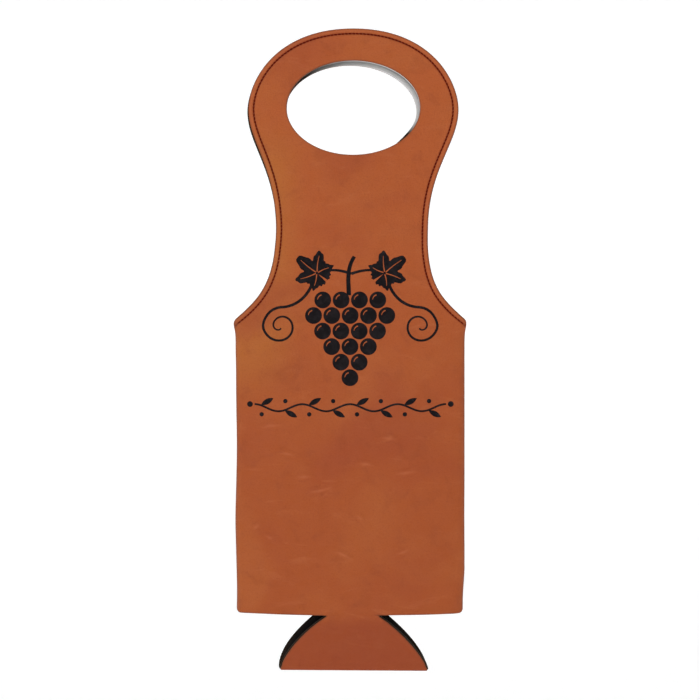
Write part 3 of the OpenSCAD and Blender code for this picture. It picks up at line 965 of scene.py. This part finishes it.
def stitches(name, centres, ways, outs, material, length, radius):
    """Short plump stitches, each along its way and flattened a little towards its out."""
    rings = ((-0.5, 0.0), (-0.44, 0.62), (-0.26, 0.97), (0, 1.06), (0.26, 0.97), (0.44, 0.62), (0.5, 0.0))
    co, faces = [], []
    around = 8
    for centre, way, out in zip(centres, ways, outs):
        aside = np.cross(way, out)
        first = len(co)
        co.append(centre + way * length * rings[0][0])
        for along, share in rings[1:-1]:
            for k in range(around):
                a = 2 * math.pi * k / around
                co.append(centre + way * length * along
                          + (aside * math.cos(a) + out * math.sin(a) * 0.85) * radius * share)
        co.append(centre + way * length * rings[-1][0])
        last = len(co) - 1
        for k in range(around):
            n = (k + 1) % around
            faces.append((first, first + 1 + n, first + 1 + k))
            faces.append((last, last - around + k, last - around + n))
            for ring in range(len(rings) - 3):
                a = first + 1 + ring * around
                faces.append((a + k, a + n, a + around + n, a + around + k))
    mesh = bpy.data.meshes.new(name)
    mesh.from_pydata([tuple(c * MM) for c in co], [], faces)
    mesh.polygons.foreach_set("use_smooth", np.ones(len(faces), bool))
    loops = np.zeros(len(mesh.loops), int)
    mesh.loops.foreach_get("vertex_index", loops)
    flat = np.array(co)[:, [0, 2]] * MM
    mesh.uv_layers.new(name="cut").data.foreach_set("uv", flat[loops].ravel())
    mesh.materials.append(material)
    return linked(name, mesh)


def stitch_track():
    """Points and directions of the stitches along the flap's edge, evenly spaced on the flat cut."""
    line = flap_line + left_of(flap_line) * STITCH_INSET
    gone = np.concatenate([[0], np.cumsum(np.linalg.norm(np.diff(line, axis=0), axis=1))])
    spots = np.arange(PITCH / 2, gone[-1], PITCH)
    ends = [np.stack([np.interp(spots + s, gone, line[:, 0]), np.interp(spots + s, gone, line[:, 1])], 1)
            for s in (-0.5, 0.5)]
    middle = (ends[0] + ends[1]) / 2
    room = (np.abs(middle[:, 0]) < SIDE_X - 1.3) & inside(middle, wall_edge)
    return middle[room], (ends[1] - ends[0])[room]


russet_thread = thread("russet_thread", RUSSET)
track, track_way = stitch_track()
for wall, outward in (("front", -1), ("back", 1)):
    centres, ways, outs = [], [], []
    for depth in (WALL_T, 0):
        stood = []
        for flat in (track, track + track_way * 0.5, track + track_way[:, ::-1] * (-0.5, 0.5)):
            facts = wall_facts({"flat": flat}, FRONT_NECK_HALF)
            facts["stitch"] += 99  # the thread isn't pressed in by its own groove
            stood.append(place(facts, depth, wall) / MM)
        middle, ahead, beside = stood
        way = unit(ahead - middle)
        out = np.cross(way, beside - middle)
        out = unit(out * np.sign(out[:, 1:2]) * outward * (1 if depth else -1))
        way = unit(way + np.cross(way, out) * STITCH_TILT)
        centres.append(middle - out * STITCH_SINK)
        ways.append(way)
        outs.append(out)
    for name, mask, a, b, start, end in regions({"middle": track}):
        if mask.any():
            chosen = [np.vstack([v[mask] for v in group]) for group in (centres, ways, outs)]
            piece = stitches(f"{wall}_topstitch_{name}", *chosen, russet_thread, STITCH_LEN, THREAD_R)
            bend_between(piece, wall, "topstitch", a, b)


# The side seams. Both walls' edges are turned into the pouch, pressed flat as an allowance and closed with
# black lockstitch. The pouch was sewn inside out, so only the rolled leatherette shows outside.
BLACK_THREAD = (0.012, 0.011, 0.011)
ALLOWANCE_W = 5.0
ALLOWANCE_T = 1.25
ALLOWANCE_IN = 1.2
HALF_PARTING = 0.18
SEAM_TOP = -4.0
SEAM_PITCH = 2.4
SEAM_IN = 0.75
SEAM_STITCH_LEN = 2.7
SEAM_THREAD_R = 0.28
black_thread = thread("black_thread", BLACK_THREAD)
heights = np.arange(CORNER_H, SEAM_TOP, 2.0)
shares = np.array([0, 0.08, 0.3, 0.6, 0.85, 0.96, 1])
row = len(shares)
for side, word in ((-1, "left"), (1, "right")):
    wander = side_wander(np.full(len(heights), side * SIDE_X), heights, side)
    for wall, outward in (("front", -1), ("back", 1)):
        outer, inner, uv = [], [], []
        for h, shift in zip(heights, wander):
            raw = 0.25 * math.sin(h * 0.9 + outward) + 0.15 * math.sin(h * 2.3)
            x = SIDE_X - ALLOWANCE_IN - shares * (ALLOWANCE_W - 0.2 + raw * 0.6)
            thick = ALLOWANCE_T - 0.35 * np.abs(2 * shares - 1) ** 4 + 0.06 * math.sin(h * 1.7)
            z = np.full(row, h + SHOULDER_Z)
            outer.append(np.stack([side * x + shift, outward * (HALF_PARTING + thick), z], 1))
            inner.append(np.stack([side * x + shift, np.full(row, outward * HALF_PARTING), z], 1))
            uv.append(np.stack([side * x, np.full(row, h)], 1))
        outer, inner, uv = np.vstack(outer) * MM, np.vstack(inner) * MM, np.vstack(uv) * MM
        tris = strip_tris(len(heights), row)[:, [1, 2, 0] if side * outward > 0 else [0, 2, 1]]
        edges_and_painted_light = np.zeros((len(outer), 2))
        piece = shell(f"{wall}_{word}_seam_allowance", tris, outer, inner, smooth_normals(outer, tris),
                      -smooth_normals(inner, tris), uv, edges_and_painted_light, [black_foam])
        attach(piece, f"{wall}_{word}")
        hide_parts(f"{wall}_{word}_allowance")
    spots = np.arange(CORNER_H + 1, SEAM_TOP, SEAM_PITCH)
    shift = side_wander(np.full(len(spots), side * SIDE_X), spots, side)
    centres = np.stack([side * (SIDE_X - SEAM_IN) + shift, np.zeros(len(spots)), spots + SHOULDER_Z], 1)
    ways = np.tile([0.0, 0.0, 1.0], (len(spots), 1))
    outs = np.tile([float(side), 0.0, 0.0], (len(spots), 1))
    piece = stitches(f"{word}_seam_stitches", centres, ways, outs, black_thread, SEAM_STITCH_LEN,
                     SEAM_THREAD_R)
    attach(piece, f"back_{word}")
    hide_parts(f"{word}_seam_thread")


# The studio. The carrier hangs empty in a round seamless sweep of pale paper, with the camera level in front
# of it and broad soft lights above and to both sides.
FLOOR_Z = -0.9
SWEEP_R = 0.8
AROUND = 72
bend = [(1.7 + SWEEP_R * math.sin(a), FLOOR_Z + SWEEP_R * (1 - math.cos(a)))
        for a in np.linspace(0, math.pi / 2, 10)]
profile = [(0.02, FLOOR_Z), (0.8, FLOOR_Z), *bend, (2.5, 1.4)]
corners = [(r * math.cos(2 * math.pi * k / AROUND), r * math.sin(2 * math.pi * k / AROUND), z)
           for r, z in profile for k in range(AROUND)]
faces = [list(range(AROUND))]
for i in range(len(profile) - 1):
    for k in range(AROUND):
        a, b = i * AROUND + k, i * AROUND + (k + 1) % AROUND
        faces.append([a, a + AROUND, b + AROUND, b])
mesh = bpy.data.meshes.new("pale_sweep")
mesh.from_pydata(corners, [], faces)
mesh.polygons.foreach_set("use_smooth", np.ones(len(faces), bool))
floor = linked("pale_sweep", mesh)
paper, _, paper_shader = bare_finish("pale_paper")
paper_shader.inputs["Base Color"].default_value = (0.93, 0.93, 0.93, 1)
paper_shader.inputs["Emission Color"].default_value = (1, 1, 1, 1)
paper_shader.inputs["Emission Strength"].default_value = 0.285
paper_shader.inputs["Roughness"].default_value = 0.9
mesh.materials.append(paper)
floor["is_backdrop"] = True

world = bpy.data.worlds.new("soft_room")
bpy.context.scene.world = world
world.use_nodes = True
room_light = world.node_tree.nodes["Background"].inputs
room_light["Color"].default_value = (1, 1, 1, 1)
room_light["Strength"].default_value = 0.3
LIGHTS_AIM = (0, 0, -0.18)
for name, at, size, power in (
    ("left_softbox", (-1.1, -1.5, 0.55), 1.1, 9),
    ("right_softbox", (1.2, -1.4, 0.2), 1.1, 1),
    ("top_softbox", (0.0, -0.3, 1.4), 1.2, 4.5),
):
    lamp = bpy.data.lights.new(name, "AREA")
    lamp.size = size
    lamp.energy = power
    light = linked(name, lamp)
    light.location = at
    light.rotation_mode = "QUATERNION"
    light.rotation_quaternion = (Vector(LIGHTS_AIM) - Vector(at)).to_track_quat("-Z", "Y")

bpy.context.scene.view_settings.view_transform = "Standard"
camera_data = bpy.data.cameras.new("camera")
camera_data.sensor_width = 36
camera_data.lens = 63.35
camera = linked("camera", camera_data)
camera.location = (0, -0.808, -0.1885)
camera.rotation_euler = (math.pi / 2, 0, 0)
bpy.context.scene.camera = camera

low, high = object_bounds()
